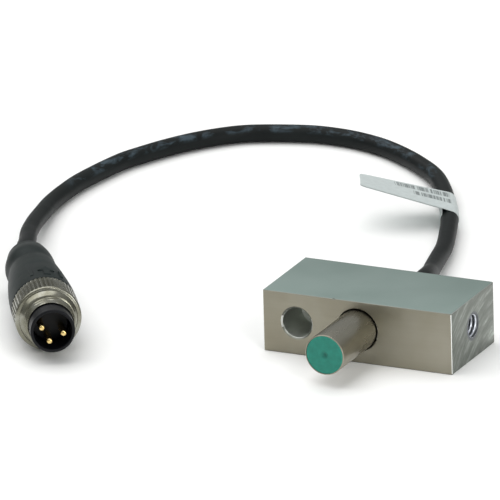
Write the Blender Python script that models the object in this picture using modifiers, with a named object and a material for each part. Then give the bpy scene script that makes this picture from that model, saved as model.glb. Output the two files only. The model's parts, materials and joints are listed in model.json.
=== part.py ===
"""Inductive proximity sensor in a clamp block, with a short cable and a moulded round plug.

Units are metres.  +X runs along the clamp block towards its clamping screw, -Y is the way the
sensor looks and +Z is up.  The origin is the centre of the block's bottom face, which stands
on the surface that the cable and the plug lie on.
"""

import math

import bmesh
import bpy
from mathutils import Matrix, Vector
from mathutils.geometry import interpolate_bezier

MM = 0.001
GAP = 0.05 * MM              # clearance between pieces that touch
MERGE = 0.001 * MM           # merge distance of modifiers and welds

# Clamp block
BLOCK_SIZE = Vector((32.0, 16.0, 10.0)) * MM
BLOCK_EDGE = 0.25 * MM
HOLE_HEIGHT = 5.4 * MM       # height of the sensor's bore and the screw's hole
SENSOR_BORE_RADIUS = 3.37 * MM
MOUNT_HOLE = Vector((-10.3, 0.0, 5.2)) * MM
COUNTERBORE_RADIUS = 2.45 * MM
COUNTERBORE_DEPTH = 7.0 * MM
COUNTERBORE_CHAMFER = 0.25 * MM
MOUNT_SCREW_HOLE_RADIUS = 1.45 * MM

# Clamping screw, M4: the solids stop at the thread's root, and leave the thread itself out
SCREW_HOLE_RADIUS = 1.72 * MM
SCREW_HOLE_CHAMFER = 0.15 * MM
SCREW_HOLE_END = 1.0 * MM    # the drilled hole ends inside the sensor's bore
SCREW_RADIUS = 1.66 * MM
SCREW_LENGTH = 6.0 * MM
SOCKET_FLATS = 2.0 * MM
SOCKET_DEPTH = 2.5 * MM
PAD_RADIUS = 1.55 * MM
PAD_LENGTH = 2.0 * MM

# Sensor: local heights run forwards from the block's front face
BARREL_RADIUS = 3.25 * MM
BARREL_WALL = 0.35 * MM
BARREL_LENGTH = 30.0 * MM
BARREL_STANDOUT = 12.2 * MM  # length in front of the block
BARREL_SHIFT = Vector((-0.05, 0.0, -0.04)) * MM
RIM_WALL = 0.15 * MM
FACE_THICKNESS = 0.65 * MM
CAP_LENGTH = 5.0 * MM
BOARD_SIZE = Vector((4.4, 0.6, 22.3)) * MM
CORE_LENGTH = 2.25 * MM
BARREL_REAR = BARREL_STANDOUT - BARREL_LENGTH
BOARD_REAR = BARREL_STANDOUT - FACE_THICKNESS - CORE_LENGTH - 2 * GAP - BOARD_SIZE.z

# Cable and its wires
CABLE_RADIUS = 1.4 * MM
WIRE_RADIUS = 0.33 * MM
CABLE_POINTS = 46

# The cable's centreline between its straight ends, placed by hand from the sensor to the plug
CABLE_ROUTE_MM = (
    (-0.5, 18, 5.1),
    (-1.5, 22, 4.3),
    (-2.9, 26, 3.2),
    (-4.2, 30, 2.6),
    (-5.7, 35, 2.0),
    (-7.3, 41, 1.7),
    (-9.6, 47.5, 1.7),
    (-12.2, 54, 1.7),
    (-15.3, 60, 1.7),
    (-19, 66.4, 1.6),
    (-22.6, 71.5, 1.5),
    (-27, 75.6, 1.45),
    (-31.3, 78.7, 1.45),
    (-36, 81.3, 1.45),
    (-41, 82.9, 1.45),
    (-45.5, 83.4, 1.45),
    (-50, 83, 1.45),
    (-58, 80.2, 1.45),
    (-61.5, 77.8, 1.45),
    (-65.2, 73.7, 1.45),
    (-68.2, 69, 1.45),
    (-70.4, 64.5, 1.45),
    (-72.2, 60, 1.45),
    (-74.1, 50, 1.45),
    (-74.4, 44, 1.45),
    (-74, 38, 1.6),
    (-72.7, 32, 2.1),
    (-71.2, 26, 2.7),
    (-69.3, 20, 3.3),
    (-66.8, 14, 4.0),
)
CABLE_IN_BOOT_MM = (10.3, 14.4)        # y of its straight start on the sensor's axis
CABLE_IN_GRIP_MM = (41.0, 36.5, 32.0)  # distances behind the plug's front of its straight end

# Marker label: a tape folded round the cable with its ends stuck together as a flag
LABEL_CENTRE = Vector((-13.9, 57.0, 1.70)) * MM
LABEL_WIDTH = 9.0 * MM
LABEL_THICKNESS = 0.10 * MM
LABEL_RADIUS = 1.48 * MM     # inside the tape, round the cable
FLAG_LENGTH = 14.5 * MM      # from the cable's axis
FLAG_RISE = math.radians(17.0)
FLAG_TWIST = math.radians(4.0)

# Plug: local heights run rearwards from the front rim of its shroud
PLUG_FRONT = Vector((-43.65, -25.80, 5.56)) * MM
PLUG_HEADING = math.radians(-58.6)   # direction from the cable to the pins
PLUG_TILT = math.radians(1.5)        # pins higher than the cable's end
PIN_ROLL = math.radians(17.8)
SHROUD_RADIUS = 3.5 * MM
SHROUD_CAVITY_RADIUS = 3.0 * MM
SHROUD_CAVITY_DEPTH = 4.6 * MM
CARRIER_FLANGE_RADIUS = 4.05 * MM
CARRIER_FLANGE_START = 7.9 * MM
CARRIER_LENGTH = 15.0 * MM
NUT_RADIUS = 5.2 * MM
NUT_START = 2.95 * MM
KNURL_START = 6.5 * MM
KNURL_END = 11.4 * MM
KNURL_TEETH = 48
KNURL_DEPTH = 0.22 * MM
PIN_CIRCLE_RADIUS = 1.77 * MM
PIN_RADIUS = 0.5 * MM
PIN_START = 0.15 * MM
PIN_END = 16.0 * MM
PIN_ANGLES = {"contact_pin_1": 0.0, "contact_pin_3": 180.0, "contact_pin_4": 270.0}
GRIP_START = 11.6 * MM
GRIP_END = 36.5 * MM
CABLE_END_IN_GRIP = 32.0 * MM

WIRE_COLOURS = {
    "brown": (0.16, 0.06, 0.025),
    "blue": (0.02, 0.10, 0.42),
    "black": (0.012, 0.012, 0.013),
}


# ---------------------------------------------------------------- helpers

def make_collection(name):
    collection = bpy.data.collections.new(name)
    bpy.context.scene.collection.children.link(collection)
    return collection


def make_material(name, colour, roughness, metallic=0.0):
    material = bpy.data.materials.new(name)
    material.use_nodes = True
    shader = material.node_tree.nodes["Principled BSDF"]
    shader.inputs["Base Color"].default_value = (*colour, 1.0)
    shader.inputs["Roughness"].default_value = roughness
    shader.inputs["Metallic"].default_value = metallic
    return material


def add_object(name, data, material=None, parent=None, collection=None):
    obj = bpy.data.objects.new(name, data)
    (collection or PARTS).objects.link(obj)
    if material:
        data.materials.append(material)
    obj.parent = parent
    return obj


def add_empty(name, location, rotation):
    empty = add_object(name, None)
    empty.location = location
    empty.rotation_euler = rotation
    empty.empty_display_size = 5 * MM
    return empty


def add_screw(obj, steps):
    screw = obj.modifiers.new("Turn", "SCREW")
    screw.axis = "Z"
    screw.steps = steps
    screw.render_steps = steps
    screw.use_merge_vertices = True
    screw.merge_threshold = MERGE
    screw.use_smooth_shade = True


def turned(name, profile, steps, material=None, parent=None, collection=None):
    """A body turned about its local Z.  The profile is a closed loop of (radius, height) in mm
    that runs down its outer side; points at radius 0 lie on the axis."""
    mesh = bpy.data.meshes.new(name)
    shape = bmesh.new()
    verts = [shape.verts.new((radius * MM, 0.0, height * MM)) for radius, height in profile]
    for first, second in zip(verts, verts[1:] + verts[:1]):
        on_axis = first.co.x == 0.0 and second.co.x == 0.0
        if not on_axis:
            shape.edges.new((first, second))
    shape.to_mesh(mesh)
    shape.free()
    obj = add_object(name, mesh, material, parent, collection)
    add_screw(obj, steps)
    return obj


def arc(centre_radius, centre_height, size, start, end, count):
    """Points of an arc in a turned profile, in mm, with angles in degrees from +radius."""
    points = []
    for index in range(count + 1):
        angle = math.radians(start + (end - start) * index / count)
        points.append((centre_radius + size * math.cos(angle), centre_height + size * math.sin(angle)))
    return points


def box(name, size, material=None, parent=None, location=(0, 0, 0), edge=0.0, collection=None):
    mesh = bpy.data.meshes.new(name)
    shape = bmesh.new()
    bmesh.ops.create_cube(shape, size=1.0, matrix=Matrix.Diagonal((*size, 1.0)))
    shape.to_mesh(mesh)
    shape.free()
    obj = add_object(name, mesh, material, parent, collection)
    obj.location = location
    if edge:
        add_bevel(obj, edge)
    return obj


def add_bevel(obj, width, segments=2):
    bevel = obj.modifiers.new("Edges", "BEVEL")
    bevel.width = width
    bevel.segments = segments
    bevel.limit_method = "ANGLE"


def add_boolean(obj, other, operation="DIFFERENCE"):
    other.hide_render = True
    other.display_type = "WIRE"
    boolean = obj.modifiers.new(other.name, "BOOLEAN")
    boolean.operation = operation
    boolean.solver = "EXACT"
    boolean.object = other


def wire(name, points, radius, material, parent=None):
    """A round wire through the points, in mm, with flat closed ends."""
    curve = bpy.data.curves.new(name, "CURVE")
    curve.dimensions = "3D"
    curve.bevel_depth = radius
    curve.bevel_resolution = 2
    curve.use_fill_caps = True
    spline = curve.splines.new("POLY")
    spline.points.add(len(points) - 1)
    for point, place in zip(spline.points, points):
        point.co = (*(Vector(place) * MM), 1.0)
    return add_object(name, curve, material, parent)


def smooth_path(route, count):
    """Points at equal spacing on one smooth curve through the route's points."""
    route = [Vector(point) for point in route]
    tangents = []
    for index, point in enumerate(route):
        before = route[max(index - 1, 0)]
        after = route[min(index + 1, len(route) - 1)]
        tangents.append((after - before).normalized())
    dense = [route[0]]
    for index in range(len(route) - 1):
        reach = (route[index + 1] - route[index]).length / 3.0
        first_handle = route[index] + tangents[index] * reach
        second_handle = route[index + 1] - tangents[index + 1] * reach
        piece = interpolate_bezier(route[index], first_handle, second_handle, route[index + 1], 17)
        dense.extend(piece[1:])
    lengths = [0.0]
    for first, second in zip(dense, dense[1:]):
        lengths.append(lengths[-1] + (second - first).length)
    points = []
    segment = 0
    for index in range(count):
        target = lengths[-1] * index / (count - 1)
        while segment < len(dense) - 2 and lengths[segment + 1] < target:
            segment += 1
        share = (target - lengths[segment]) / (lengths[segment + 1] - lengths[segment])
        points.append(dense[segment].lerp(dense[segment + 1], min(share, 1.0)))
    return points


def curve_to_mesh(obj):
    """Turn a curve object into a mesh object with welded caps, so that it can be cut."""
    bpy.context.view_layer.update()
    graph = bpy.context.evaluated_depsgraph_get()
    mesh = bpy.data.meshes.new_from_object(obj.evaluated_get(graph))
    shape = bmesh.new()
    shape.from_mesh(mesh)
    bmesh.ops.remove_doubles(shape, verts=shape.verts, dist=MERGE)
    shape.to_mesh(mesh)
    shape.free()
    name = obj.name
    place = obj.matrix_world.copy()
    collection = obj.users_collection[0]
    bpy.data.objects.remove(obj)
    solid = bpy.data.objects.new(name, mesh)
    solid.matrix_world = place
    collection.objects.link(solid)
    return solid


# ---------------------------------------------------------------- clamp block

def make_block():
    """The block with its sensor bore, counterbored mounting hole and hole for the screw."""
    material = make_material("block_aluminium", (0.50, 0.51, 0.47), 0.38, 1.0)
    block = box("mounting_block", BLOCK_SIZE, material, edge=BLOCK_EDGE,
                location=(0, 0, BLOCK_SIZE.z / 2))
    half_depth = BLOCK_SIZE.y / 2 / MM
    past = 1.0

    bore_radius = SENSOR_BORE_RADIUS / MM
    bore = turned("cut_sensor_bore",
                  [(0, half_depth + past), (bore_radius, half_depth + past),
                   (bore_radius, -half_depth - past), (0, -half_depth - past)],
                  64, collection=CUTTERS)
    bore.rotation_euler = (math.pi / 2, 0, 0)
    bore.location = (0, 0, HOLE_HEIGHT)
    add_boolean(block, bore)

    radius = COUNTERBORE_RADIUS / MM
    flare = COUNTERBORE_CHAMFER / MM
    floor = half_depth - COUNTERBORE_DEPTH / MM
    through = MOUNT_SCREW_HOLE_RADIUS / MM
    mount_hole = turned("cut_mounting_hole",
                        [(0, half_depth + past), (radius + flare + past, half_depth + past),
                         (radius, half_depth - flare), (radius, floor), (through, floor),
                         (through, -half_depth - past), (0, -half_depth - past)],
                        48, collection=CUTTERS)
    mount_hole.rotation_euler = (math.pi / 2, 0, 0)
    mount_hole.location = MOUNT_HOLE
    add_boolean(block, mount_hole)

    radius = SCREW_HOLE_RADIUS / MM
    flare = SCREW_HOLE_CHAMFER / MM
    inner_end = SCREW_HOLE_END / MM
    end = BLOCK_SIZE.x / 2 / MM
    screw_hole = turned("cut_screw_hole",
                        [(0, end + past), (radius + flare + past, end + past),
                         (radius, end - flare), (radius, inner_end), (0, inner_end)],
                        40, collection=CUTTERS)
    screw_hole.rotation_euler = (0, math.pi / 2, 0)
    screw_hole.location = (0, 0, HOLE_HEIGHT)
    add_boolean(block, screw_hole)


def make_clamp():
    """The grub screw and the pressure pad that it pushes onto the barrel."""
    steel = make_material("screw_steel", (0.10, 0.10, 0.11), 0.35, 0.9)
    nylon = make_material("pad_nylon", (0.72, 0.70, 0.62), 0.5)
    axis = add_empty("screw_axis", (0, 0, HOLE_HEIGHT), (0, math.pi / 2, 0))
    pad_start = (BARREL_RADIUS + BARREL_SHIFT.x + GAP) / MM
    pad_end = pad_start + PAD_LENGTH / MM
    pad_radius = PAD_RADIUS / MM
    turned("pressure_pad",
           [(0, pad_end), (pad_radius - 0.2, pad_end), (pad_radius, pad_end - 0.2),
            (pad_radius, pad_start + 0.2), (pad_radius - 0.2, pad_start), (0, pad_start)],
           32, nylon, axis)
    tip = pad_end + GAP / MM
    tail = tip + SCREW_LENGTH / MM
    radius = SCREW_RADIUS / MM
    screw = turned("set_screw",
                   [(0, tail), (radius - 0.35, tail), (radius, tail - 0.35), (radius, tip + 0.7),
                    (radius - 0.7, tip), (0, tip)],
                   32, steel, axis)
    socket_radius = SOCKET_FLATS / MM / 2 / math.cos(math.pi / 6)
    bottom = tail - SOCKET_DEPTH / MM
    socket = turned("cut_hex_socket",
                    [(0, tail + 1), (socket_radius, tail + 1), (socket_radius, bottom),
                     (0, bottom - 0.4)],
                    6, parent=axis, collection=CUTTERS)
    add_boolean(screw, socket)


# ---------------------------------------------------------------- sensor

def make_barrel(axis):
    steel = make_material("barrel_stainless", (0.47, 0.45, 0.41), 0.3, 1.0)
    outer = BARREL_RADIUS / MM
    inner = outer - BARREL_WALL / MM
    rim = outer - RIM_WALL / MM
    front = BARREL_STANDOUT / MM
    rear = BARREL_REAR / MM
    seat = front - FACE_THICKNESS / MM - 0.1
    turned("sensor_barrel",
           [(outer - 0.1, front), (outer, front - 0.1), (outer, rear + 0.1), (outer - 0.1, rear),
            (inner, rear), (inner, seat), (rim, seat), (rim, front)],
           64, steel, axis)


def make_face_cap(axis):
    """The plastic cup that closes the front and holds the coil."""
    plastic = make_material("face_plastic", (0.03, 0.30, 0.22), 0.45)
    front = BARREL_STANDOUT / MM
    back_of_face = front - FACE_THICKNESS / MM
    rear = front - CAP_LENGTH / MM
    flange = (BARREL_RADIUS - RIM_WALL - GAP) / MM
    skirt = (BARREL_RADIUS - BARREL_WALL - GAP) / MM
    inner = skirt - 0.4
    turned("sensing_face_cap",
           [(0, front - 0.12), (0.35, front - 0.12), (0.45, front - 0.02), (flange - 0.12, front - 0.02),
            (flange, front - 0.12), (flange, back_of_face), (skirt, back_of_face), (skirt, rear),
            (inner, rear), (inner, back_of_face + 0.1), (0, back_of_face + 0.1)],
           48, plastic, axis)


def make_coil_set(axis):
    """Half a ferrite pot core that opens forwards, and the coil on its former inside it."""
    ferrite = make_material("ferrite", (0.05, 0.05, 0.055), 0.6)
    copper = make_material("coil_copper", (0.72, 0.30, 0.12), 0.35, 0.8)
    former_plastic = make_material("former_plastic", (0.75, 0.72, 0.62), 0.5)
    front = (BARREL_STANDOUT - FACE_THICKNESS) / MM
    rear = front - CORE_LENGTH / MM
    floor = rear + 0.5
    outer = 2.38
    turned("ferrite_core",
           [(0, front), (0.7, front), (0.7, floor), (1.95, floor), (1.95, front), (outer, front),
            (outer, rear), (0, rear)],
           40, ferrite, axis)
    base = floor + 0.06
    top = front - 0.08
    turned("coil_former",
           [(1.88, top), (1.88, top - 0.16), (0.94, top - 0.16), (0.94, base + 0.16),
            (1.88, base + 0.16), (1.88, base), (0.76, base), (0.76, top)],
           32, former_plastic, axis)
    turned("sense_coil",
           [(1.78, top - 0.21), (1.78, base + 0.21), (0.99, base + 0.21), (0.99, top - 0.21)],
           32, copper, axis)


def make_electronics(axis):
    """The narrow circuit board behind the core, with its components on the upper side."""
    laminate = make_material("board_laminate", (0.03, 0.20, 0.08), 0.5)
    epoxy = make_material("chip_epoxy", (0.02, 0.02, 0.022), 0.5)
    ceramic = make_material("capacitor_ceramic", (0.42, 0.30, 0.18), 0.5)
    glass = make_material("diode_glass", (0.55, 0.16, 0.06), 0.2)
    led_resin = make_material("led_resin", (0.85, 0.70, 0.25), 0.25)
    rear = BOARD_REAR / MM
    box("circuit_board", BOARD_SIZE, laminate, axis, (0, 0, BOARD_REAR + BOARD_SIZE.z / 2),
        edge=0.1 * MM)
    deck = BOARD_SIZE.y / MM / 2 + GAP / MM
    components = (   # name, size, distance in front of the board's rear edge
        ("oscillator_chip", (2.8, 0.9, 3.0), 16.2, epoxy),
        ("filter_capacitor", (1.3, 0.9, 2.0), 12.6, ceramic),
        ("output_transistor", (2.8, 0.95, 1.4), 9.6, epoxy),
        ("status_led", (1.6, 0.7, 0.9), 2.8, led_resin),
    )
    for name, size, distance, material in components:
        box(name, Vector(size) * MM, material, axis,
            Vector((0, deck + size[1] / 2, rear + distance)) * MM, edge=0.12 * MM)
    diode = turned("surge_diode",
                   [(0, 0.95), (0.4, 0.95), (0.5, 0.85), (0.5, -0.85), (0.4, -0.95), (0, -0.95)],
                   20, glass, axis)
    diode.rotation_euler = (0, math.pi / 2, 0)
    diode.location = Vector((0, deck + 0.5, rear + 6.4)) * MM


def make_rear_end(axis):
    """The clear end cap that shows the status light, and the grommet in it."""
    clear = make_material("end_cap_clear", (0.70, 0.62, 0.30), 0.25)
    rubber = make_material("grommet_rubber", (0.02, 0.02, 0.021), 0.6)
    rear = BARREL_REAR / MM
    plug = (BARREL_RADIUS - BARREL_WALL - GAP) / MM
    flange = (BARREL_RADIUS - GAP) / MM
    flange_top = rear - GAP / MM
    flange_rear = flange_top - 1.2
    turned("end_cap",
           [(2.3, rear + 3.0), (plug, rear + 3.0), (plug, flange_top), (flange, flange_top)]
           + arc(flange - 0.5, flange_rear + 0.5, 0.5, 0, -90, 4)
           + [(1.9, flange_rear), (1.9, rear - 0.5), (2.3, rear - 0.5)],
           48, clear, axis)
    bore = CABLE_RADIUS / MM + 0.06
    seat = rear - 0.5 + GAP / MM
    turned("cable_grommet",
           [(bore, seat + 1.0), (2.2, seat + 1.0), (2.2, seat), (1.84, seat),
            (1.84, flange_rear - 1.2), (1.66, flange_rear - 2.6), (bore, flange_rear - 2.6)],
           36, rubber, axis)


def make_sensor_wires(axis, materials):
    """Three wires from the board's pads back to the cable's end inside the grommet."""
    lift = BOARD_SIZE.y / MM / 2 + 2 * GAP / MM + WIRE_RADIUS / MM
    pads = {"brown": -1.35, "black": 0.0, "blue": 1.35}
    around_cable = {"brown": 210.0, "black": 90.0, "blue": 330.0}
    for colour, pad_x in pads.items():
        angle = math.radians(around_cable[colour])
        end = Vector((0.62 * math.cos(angle), 0.62 * math.sin(angle), BARREL_REAR / MM - 0.3))
        start = Vector((pad_x, lift, BOARD_REAR / MM + 1.7))
        route = [start, start - Vector((0, 0, 1.6)), end + Vector((0, 0, 2.2)), end]
        wire(f"sensor_wire_{colour}", smooth_path(route, 12), WIRE_RADIUS, materials[colour], axis)


# ---------------------------------------------------------------- cable and label

def cable_route():
    """The whole centreline in mm: straight out of the sensor, round, and straight into the plug."""
    sensor = (Vector((0, 0, HOLE_HEIGHT)) + BARREL_SHIFT) / MM
    start = [(sensor.x, y, sensor.z) for y in CABLE_IN_BOOT_MM]
    rearwards = -Vector((math.cos(PLUG_HEADING) * math.cos(PLUG_TILT),
                         math.sin(PLUG_HEADING) * math.cos(PLUG_TILT), math.sin(PLUG_TILT)))
    end = [PLUG_FRONT / MM + rearwards * distance for distance in CABLE_IN_GRIP_MM]
    return [*start, *CABLE_ROUTE_MM, *end]


def make_cable():
    jacket = make_material("cable_jacket", (0.022, 0.026, 0.028), 0.45)
    return wire("sensor_cable", smooth_path(cable_route(), CABLE_POINTS), CABLE_RADIUS, jacket)


def make_label():
    """The tape's cross-section swept along the cable: round it, then out as a doubled flag."""
    paper = make_material("label_tape", (0.80, 0.83, 0.81), 0.6)
    path = smooth_path([Vector(point) * MM for point in cable_route()], 400)
    centre = min(range(len(path)), key=lambda i: (path[i] - LABEL_CENTRE).length)
    half_span = LABEL_WIDTH / (path[1] - path[0]).length / 2
    stations = 7
    mesh = bpy.data.meshes.new("marker_label")
    shape = bmesh.new()
    grid = []
    for station in range(stations):
        share = station / (stations - 1)
        index = round(centre + (2 * share - 1) * half_span)
        along = (path[index + 1] - path[index - 1]).normalized()
        inward = Vector((0, 0, 1)).cross(along).normalized()
        up = along.cross(inward)
        slope = FLAG_RISE - FLAG_TWIST * (share - 0.5)
        grid.append([shape.verts.new(path[index] + inward * across + up * height)
                     for across, height in label_section(slope)])
    for near, far in zip(grid, grid[1:]):
        for index in range(len(near) - 1):
            shape.faces.new((near[index], near[index + 1], far[index + 1], far[index]))
    shape.to_mesh(mesh)
    shape.free()
    label = add_object("marker_label", mesh, paper)
    tape = label.modifiers.new("Tape", "SOLIDIFY")
    tape.thickness = LABEL_THICKNESS
    tape.offset = -1.0
    return label


def label_section(slope):
    """Across the cable: the tape comes in along the flag's underside, turns round the cable
    and goes out along the flag's upper side, level with the cable's top and a hair above."""
    radius = LABEL_RADIUS
    underside = radius - GAP
    points = [(FLAG_LENGTH, underside), (FLAG_LENGTH / 2, underside), (1.3 * radius, underside),
              (1.12 * radius, 0.84 * radius), (1.03 * radius, 0.58 * radius)]
    first_angle, last_angle, count = 15, -270, 18
    for index in range(count + 1):
        angle = math.radians(first_angle + (last_angle - first_angle) * index / count)
        points.append((radius * math.cos(angle), radius * math.sin(angle)))
    points += [(FLAG_LENGTH / 2, radius), (FLAG_LENGTH, radius)]
    turn = Matrix.Rotation(slope, 2)
    return [turn @ Vector(point) for point in points]


# ---------------------------------------------------------------- plug

def make_coupling_nut(axis):
    """The knurled nut with its male thread, the thread left plain at its outer radius."""
    nickel = make_material("nut_nickel", (0.62, 0.60, 0.54), 0.25, 1.0)
    start, knurl, end = NUT_START / MM, KNURL_START / MM, KNURL_END / MM
    root = (NUT_RADIUS - KNURL_DEPTH) / MM
    bore = SHROUD_RADIUS / MM + 0.08
    seat = CARRIER_FLANGE_START / MM - GAP / MM
    seat_radius = CARRIER_FLANGE_RADIUS / MM + 0.1
    nut = turned("coupling_nut",
                 [(bore, seat), (seat_radius, seat), (seat_radius, end), (root - 0.2, end),
                  (root, end - 0.2), (root, knurl + 0.2), (root - 0.2, knurl), (4.55, knurl - 0.1),
                  (4.45, start + 2.5), (4.0, start + 2.4), (4.0, start + 0.3), (3.85, start),
                  (bore, start)],
                 72, nickel, axis)
    ring = bpy.data.curves.new("knurl_ring", "CURVE")
    ring.dimensions = "2D"
    ring.fill_mode = "BOTH"
    width = (KNURL_END - KNURL_START) / 2 - 0.3 * MM
    ring.extrude = width
    teeth = ring.splines.new("POLY")
    teeth.points.add(KNURL_TEETH * 2 - 1)
    for index, point in enumerate(teeth.points):
        angle = math.pi * index / KNURL_TEETH
        radius = NUT_RADIUS if index % 2 else NUT_RADIUS - KNURL_DEPTH
        point.co = (radius * math.cos(angle), radius * math.sin(angle), 0, 1)
    teeth.use_cyclic_u = True
    hole = ring.splines.new("POLY")
    hole.points.add(35)
    for index, point in enumerate(hole.points):
        angle = math.tau * index / 36
        radius = NUT_RADIUS - 0.55 * MM
        point.co = (radius * math.cos(angle), radius * math.sin(angle), 0, 1)
    hole.use_cyclic_u = True
    knurled = curve_to_mesh(add_object("join_knurl_ring", ring, collection=CUTTERS))
    knurled.parent = axis
    knurled.location = (0, 0, (KNURL_START + KNURL_END) / 2)
    add_boolean(nut, knurled, "UNION")


def make_contact_carrier(axis):
    """The moulded insert: an open shroud round the pins, a flange behind the nut's seat."""
    plastic = make_material("carrier_plastic", (0.012, 0.012, 0.014), 0.4)
    shroud = SHROUD_RADIUS / MM
    cavity = SHROUD_CAVITY_RADIUS / MM
    depth = SHROUD_CAVITY_DEPTH / MM
    flange = CARRIER_FLANGE_RADIUS / MM
    seat = CARRIER_FLANGE_START / MM
    rear = CARRIER_LENGTH / MM
    carrier = turned("contact_carrier",
                     [(cavity, 0.15), (cavity, depth), (0, depth), (0, rear), (3.2, rear),
                      (3.2, seat + 1.4), (flange, seat + 1.4), (flange, seat), (shroud, seat),
                      (shroud, 0.2), (shroud - 0.2, 0), (cavity + 0.15, 0)],
                     36, plastic, axis)
    for name, angle in PIN_ANGLES.items():
        turn = math.radians(angle)
        hole_radius = (PIN_RADIUS + GAP) / MM
        hole = turned(f"cut_{name}",
                      [(0, rear + 1), (hole_radius, rear + 1), (hole_radius, 2.0), (0, 2.0)],
                      20, parent=axis, collection=CUTTERS)
        hole.location = (PIN_CIRCLE_RADIUS * math.cos(turn), PIN_CIRCLE_RADIUS * math.sin(turn), 0)
        add_boolean(carrier, hole)
    key = box("join_key_rib", Vector((0.9, 0.7, depth - 0.6)) * MM, parent=axis, collection=CUTTERS,
              location=Vector((0, cavity + 0.05, (depth + 0.8) / 2)) * MM)
    add_boolean(carrier, key, "UNION")


def make_contact_pins(axis):
    gold = make_material("pin_gold", (0.83, 0.62, 0.25), 0.25, 1.0)
    radius = PIN_RADIUS / MM
    tip, rear, rounding = PIN_START / MM, PIN_END / MM, 0.35
    for name, angle in PIN_ANGLES.items():
        turn = math.radians(angle)
        pin = turned(name,
                     [(0, rear), (radius, rear)]
                     + arc(radius - rounding, tip + rounding, rounding, 0, -90, 4) + [(0, tip)],
                     20, gold, axis)
        pin.location = (PIN_CIRCLE_RADIUS * math.cos(turn), PIN_CIRCLE_RADIUS * math.sin(turn), 0)


def make_grip(axis):
    """The moulded body: round behind the nut, waisted for the fingers, closed on the cable."""
    rubber = make_material("grip_rubber", (0.022, 0.027, 0.028), 0.55)
    start, end = GRIP_START / MM, GRIP_END / MM
    bore = CABLE_RADIUS / MM + 0.06
    nose = CARRIER_FLANGE_RADIUS / MM
    nose_start = CARRIER_FLANGE_START / MM + 1.55
    socket, pocket = 3.3, CARRIER_LENGTH / MM + 0.4
    cable_seat = CABLE_END_IN_GRIP / MM - 0.2
    outline = [(nose, nose_start), (nose, start), (5.0, start), (5.2, start + 0.3), (5.15, 14.0),
               (4.95, 18.0), (4.6, 22.0), (4.25, 25.0), (3.95, 28.0), (3.8, 31.0), (3.7, 33.0),
               (3.45, 34.6), (3.0, 35.7), (2.3, end - 0.2), (1.7, end)]
    cavity = [(bore, end), (bore, cable_seat), (2.6, cable_seat - 0.8), (2.6, pocket),
              (socket, pocket), (socket, nose_start)]
    turned("connector_grip", (outline + cavity)[::-1], 48, rubber, axis)


def make_plug_wires(axis, materials):
    """Three wires from the cable's end to the rear of the pins."""
    ends = {"brown": "contact_pin_1", "blue": "contact_pin_3", "black": "contact_pin_4"}
    around_cable = {"brown": 0.0, "blue": 180.0, "black": 270.0}
    for colour, pin in ends.items():
        angle = math.radians(around_cable[colour])
        turn = math.radians(PIN_ANGLES[pin])
        end = Vector((0.62 * math.cos(angle), 0.62 * math.sin(angle), CABLE_END_IN_GRIP / MM - 0.3))
        radius = PIN_CIRCLE_RADIUS / MM
        start = Vector((radius * math.cos(turn), radius * math.sin(turn), PIN_END / MM + 0.1))
        route = [start, start + Vector((0, 0, 3.0)), end - Vector((0, 0, 5.0)), end]
        wire(f"plug_wire_{colour}", smooth_path(route, 12), WIRE_RADIUS, materials[colour], axis)


# ---------------------------------------------------------------- assembly

for old in list(bpy.data.objects):
    bpy.data.objects.remove(old)
PARTS = make_collection("proximity_sensor")
CUTTERS = make_collection("cutters")

wire_materials = {colour: make_material(f"wire_{colour}", rgb, 0.45)
                  for colour, rgb in WIRE_COLOURS.items()}

make_block()
make_clamp()

sensor_axis = add_empty("sensor_axis",
                        Vector((0, -BLOCK_SIZE.y / 2, HOLE_HEIGHT)) + BARREL_SHIFT,
                        (math.pi / 2, 0, 0))
make_barrel(sensor_axis)
make_face_cap(sensor_axis)
make_coil_set(sensor_axis)
make_electronics(sensor_axis)
make_rear_end(sensor_axis)
make_sensor_wires(sensor_axis, wire_materials)

make_cable()
make_label()

# Local Z runs from the pins back to the cable; local Y is up before the roll about the axis.
plug_axis = add_empty("plug_axis", PLUG_FRONT,
                      (math.pi / 2 + PLUG_TILT, 0, PLUG_HEADING - math.pi / 2))
pin_axis = add_empty("pin_axis", (0, 0, 0), (0, 0, PIN_ROLL))
pin_axis.parent = plug_axis
make_coupling_nut(plug_axis)
make_grip(plug_axis)
make_contact_carrier(pin_axis)
make_contact_pins(pin_axis)
make_plug_wires(pin_axis, wire_materials)

SMOOTH_ANGLE = math.radians(35)
for part in PARTS.objects:
    if part.type == "MESH":
        part.data.shade_smooth()
        part.data.set_sharp_from_angle(angle=SMOOTH_ANGLE)
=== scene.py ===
"""Looks of the proximity sensor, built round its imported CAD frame.

Everything is in metres, +Z up.  Turned pieces are made about their local Z and then placed on
the axis of the CAD body that they belong to.
"""

import json
import math

import bmesh
import bpy
from mathutils import Matrix, Vector
from mathutils.geometry import interpolate_bezier


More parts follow.
